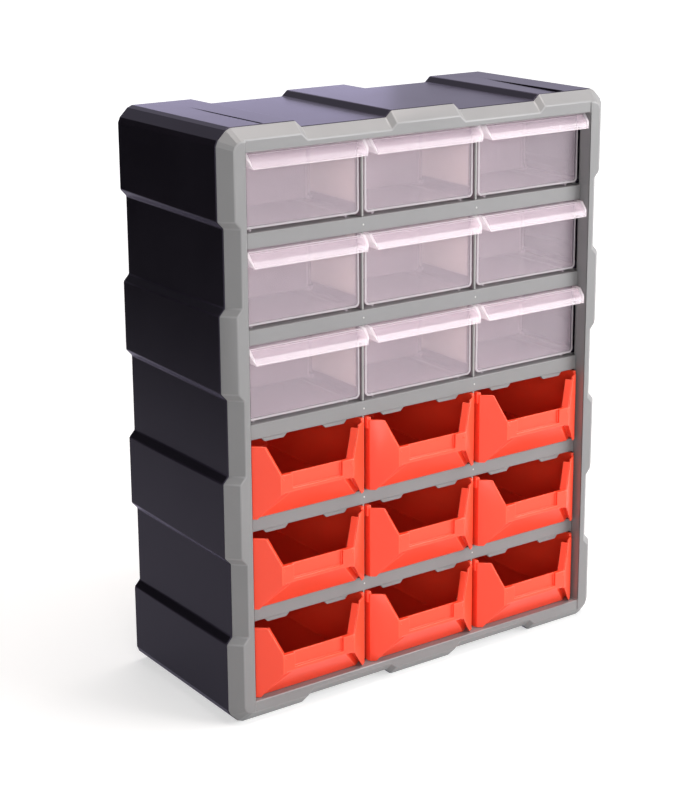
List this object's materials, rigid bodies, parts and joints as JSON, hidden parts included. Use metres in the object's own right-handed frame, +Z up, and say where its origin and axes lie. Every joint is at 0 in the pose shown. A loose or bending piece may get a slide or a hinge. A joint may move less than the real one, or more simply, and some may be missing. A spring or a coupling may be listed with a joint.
{
  "type": "parts bin cabinet",
  "caption": "Small parts cabinet with a stepped shell: clear drawers with dividers above open-front stacking bins, each sliding out to the front.",
  "frame": {"origin": "middle of the cabinet's bounding box on its underside, at rest", "axes": "+Z up, +X to the right seen from the front, the front faces -Y"},
  "size_m": [0.38, 0.167, 0.475],
  "materials": {
    "casing_plastic": "black moulded polypropylene, fine texture",
    "frame_plastic": "grey moulded plastic, satin",
    "partition_plastic": "light grey plastic sheet, satin",
    "clear_plastic": "clear moulded polystyrene, glossy",
    "bin_plastic": "orange-red moulded polypropylene, satin gloss"
  },
  "bodies": {
    "cabinet": {"casing": "casing_plastic", "front_frame": "frame_plastic", "base_shelf": "frame_plastic", "shelf_1": "frame_plastic", "shelf_2": "frame_plastic", "shelf_3": "frame_plastic", "shelf_4": "frame_plastic", "shelf_5": "frame_plastic", "partition_left": "partition_plastic", "partition_right": "partition_plastic"},
    "drawer_1_body": {"drawer_1": "clear_plastic", "divider_1": "clear_plastic"},
    "drawer_2_body": {"drawer_2": "clear_plastic", "divider_2": "clear_plastic"},
    "drawer_3_body": {"drawer_3": "clear_plastic", "divider_3": "clear_plastic"},
    "drawer_4_body": {"drawer_4": "clear_plastic", "divider_4": "clear_plastic"},
    "drawer_5_body": {"drawer_5": "clear_plastic", "divider_5": "clear_plastic"},
    "drawer_6_body": {"drawer_6": "clear_plastic", "divider_6": "clear_plastic"},
    "drawer_7_body": {"drawer_7": "clear_plastic", "divider_7": "clear_plastic"},
    "drawer_8_body": {"drawer_8": "clear_plastic", "divider_8": "clear_plastic"},
    "drawer_9_body": {"drawer_9": "clear_plastic", "divider_9": "clear_plastic"},
    "bin_1_body": {"bin_1": "bin_plastic"},
    "bin_2_body": {"bin_2": "bin_plastic"},
    "bin_3_body": {"bin_3": "bin_plastic"},
    "bin_4_body": {"bin_4": "bin_plastic"},
    "bin_5_body": {"bin_5": "bin_plastic"},
    "bin_6_body": {"bin_6": "bin_plastic"},
    "bin_7_body": {"bin_7": "bin_plastic"},
    "bin_8_body": {"bin_8": "bin_plastic"},
    "bin_9_body": {"bin_9": "bin_plastic"}
  },
  "joints": [
    {"name": "drawer_1_slide", "type": "slide", "parent": "cabinet", "child": "drawer_1_body", "axis": [0, -1, 0], "range_m": [0, 0.12]},
    {"name": "drawer_2_slide", "type": "slide", "parent": "cabinet", "child": "drawer_2_body", "axis": [0, -1, 0], "range_m": [0, 0.12]},
    {"name": "drawer_3_slide", "type": "slide", "parent": "cabinet", "child": "drawer_3_body", "axis": [0, -1, 0], "range_m": [0, 0.12]},
    {"name": "drawer_4_slide", "type": "slide", "parent": "cabinet", "child": "drawer_4_body", "axis": [0, -1, 0], "range_m": [0, 0.12]},
    {"name": "drawer_5_slide", "type": "slide", "parent": "cabinet", "child": "drawer_5_body", "axis": [0, -1, 0], "range_m": [0, 0.12]},
    {"name": "drawer_6_slide", "type": "slide", "parent": "cabinet", "child": "drawer_6_body", "axis": [0, -1, 0], "range_m": [0, 0.12]},
    {"name": "drawer_7_slide", "type": "slide", "parent": "cabinet", "child": "drawer_7_body", "axis": [0, -1, 0], "range_m": [0, 0.12]},
    {"name": "drawer_8_slide", "type": "slide", "parent": "cabinet", "child": "drawer_8_body", "axis": [0, -1, 0], "range_m": [0, 0.12]},
    {"name": "drawer_9_slide", "type": "slide", "parent": "cabinet", "child": "drawer_9_body", "axis": [0, -1, 0], "range_m": [0, 0.12]},
    {"name": "bin_1_slide", "type": "slide", "parent": "cabinet", "child": "bin_1_body", "axis": [0, -1, 0], "range_m": [0, 0.12]},
    {"name": "bin_2_slide", "type": "slide", "parent": "cabinet", "child": "bin_2_body", "axis": [0, -1, 0], "range_m": [0, 0.12]},
    {"name": "bin_3_slide", "type": "slide", "parent": "cabinet", "child": "bin_3_body", "axis": [0, -1, 0], "range_m": [0, 0.12]},
    {"name": "bin_4_slide", "type": "slide", "parent": "cabinet", "child": "bin_4_body", "axis": [0, -1, 0], "range_m": [0, 0.12]},
    {"name": "bin_5_slide", "type": "slide", "parent": "cabinet", "child": "bin_5_body", "axis": [0, -1, 0], "range_m": [0, 0.12]},
    {"name": "bin_6_slide", "type": "slide", "parent": "cabinet", "child": "bin_6_body", "axis": [0, -1, 0], "range_m": [0, 0.12]},
    {"name": "bin_7_slide", "type": "slide", "parent": "cabinet", "child": "bin_7_body", "axis": [0, -1, 0], "range_m": [0, 0.12]},
    {"name": "bin_8_slide", "type": "slide", "parent": "cabinet", "child": "bin_8_body", "axis": [0, -1, 0], "range_m": [0, 0.12]},
    {"name": "bin_9_slide", "type": "slide", "parent": "cabinet", "child": "bin_9_body", "axis": [0, -1, 0], "range_m": [0, 0.12]}
  ]
}
